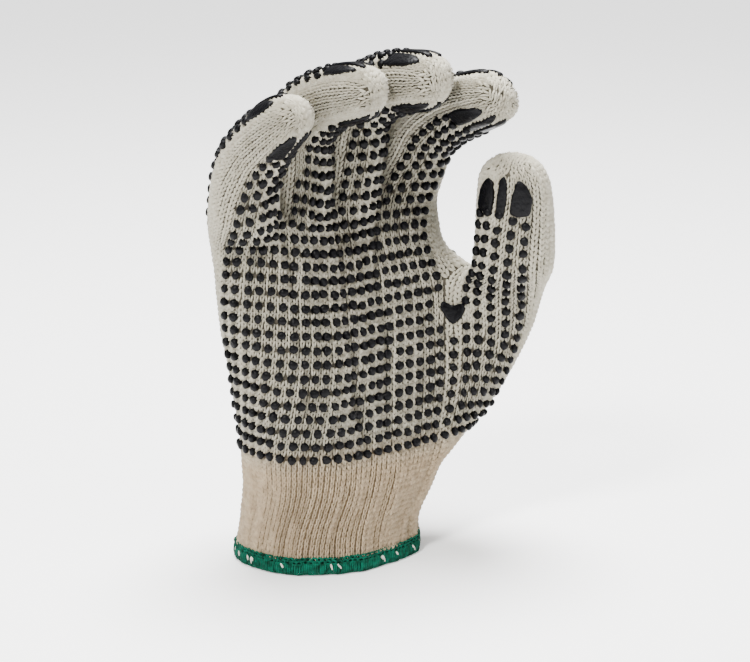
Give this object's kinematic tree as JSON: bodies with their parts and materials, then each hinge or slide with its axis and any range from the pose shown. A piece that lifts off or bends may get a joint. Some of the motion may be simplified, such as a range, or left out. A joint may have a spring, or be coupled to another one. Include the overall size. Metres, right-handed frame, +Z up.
{
  "type": "knit work glove",
  "caption": "Right-hand seamless string knit work glove with black PVC grip patches on palm and back, green overlocked cuff edge, shown in a relaxed curl.",
  "frame": {"origin": "middle of the wrist opening, in the plane of the cuff's raw edge", "axes": "+Z up the forearm towards the fingers, palm towards -Y, thumb towards +X"},
  "size_m": [0.1252, 0.0877, 0.1938],
  "materials": {
    "knit": "matt natural cotton string knit",
    "pvc": "satin black soft PVC",
    "hem": "matt green overlock thread"
  },
  "bodies": {
    "root": {"knit_shell": "knit", "hem_overlock": "hem", "little_palm_petal_little_side": "pvc", "little_palm_bar": "pvc", "little_palm_petal_thumb_side": "pvc", "little_back_petal_little_side": "pvc", "little_back_bar": "pvc", "little_back_petal_thumb_side": "pvc", "ring_palm_petal_little_side": "pvc", "ring_palm_bar": "pvc", "ring_palm_petal_thumb_side": "pvc", "ring_back_petal_little_side": "pvc", "ring_back_bar": "pvc", "ring_back_petal_thumb_side": "pvc", "middle_palm_petal_little_side": "pvc", "middle_palm_bar": "pvc", "middle_palm_petal_thumb_side": "pvc", "middle_back_petal_little_side": "pvc", "middle_back_bar": "pvc", "middle_back_petal_thumb_side": "pvc", "index_palm_petal_little_side": "pvc", "index_palm_bar": "pvc", "index_palm_petal_thumb_side": "pvc", "index_back_petal_little_side": "pvc", "index_back_bar": "pvc", "index_back_petal_thumb_side": "pvc", "thumb_palm_petal_little_side": "pvc", "thumb_palm_bar": "pvc", "thumb_palm_petal_thumb_side": "pvc", "thumb_back_petal_little_side": "pvc", "thumb_back_bar": "pvc", "thumb_back_petal_thumb_side": "pvc", "crotch_palm_patch": "pvc", "crotch_back_patch": "pvc"}
  },
  "joints": []
}
